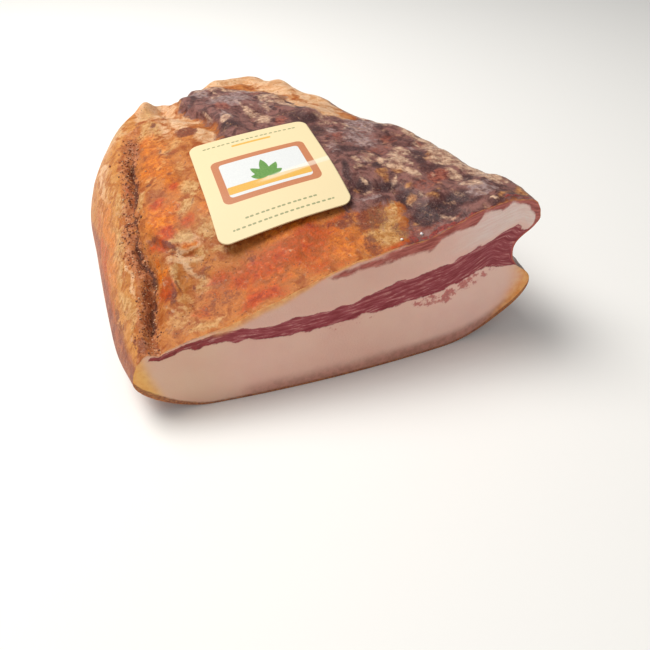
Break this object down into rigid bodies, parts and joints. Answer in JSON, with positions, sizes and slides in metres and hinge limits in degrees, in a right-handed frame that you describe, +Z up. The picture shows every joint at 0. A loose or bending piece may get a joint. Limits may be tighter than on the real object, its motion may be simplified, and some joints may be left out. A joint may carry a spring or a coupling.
{
  "type": "guanciale",
  "caption": "Cured pork jowl in one piece, cut straight across at the front, rind side down, with a blank-backed card lying on its dried, spiced top.",
  "frame": {"origin": "bottom centre of the block's bounding box, on the surface that it lies on", "axes": "+X along the cut towards its thick end, +Y from the cut back to the tip, +Z up"},
  "size_m": [0.1788, 0.2152, 0.0694],
  "materials": {
    "cured_jowl": "waxy cured fat and dried lean, satin",
    "card": "printed paper card, matt"
  },
  "bodies": {
    "root": {"jowl_block": "cured_jowl", "label_card": "card"}
  },
  "joints": []
}
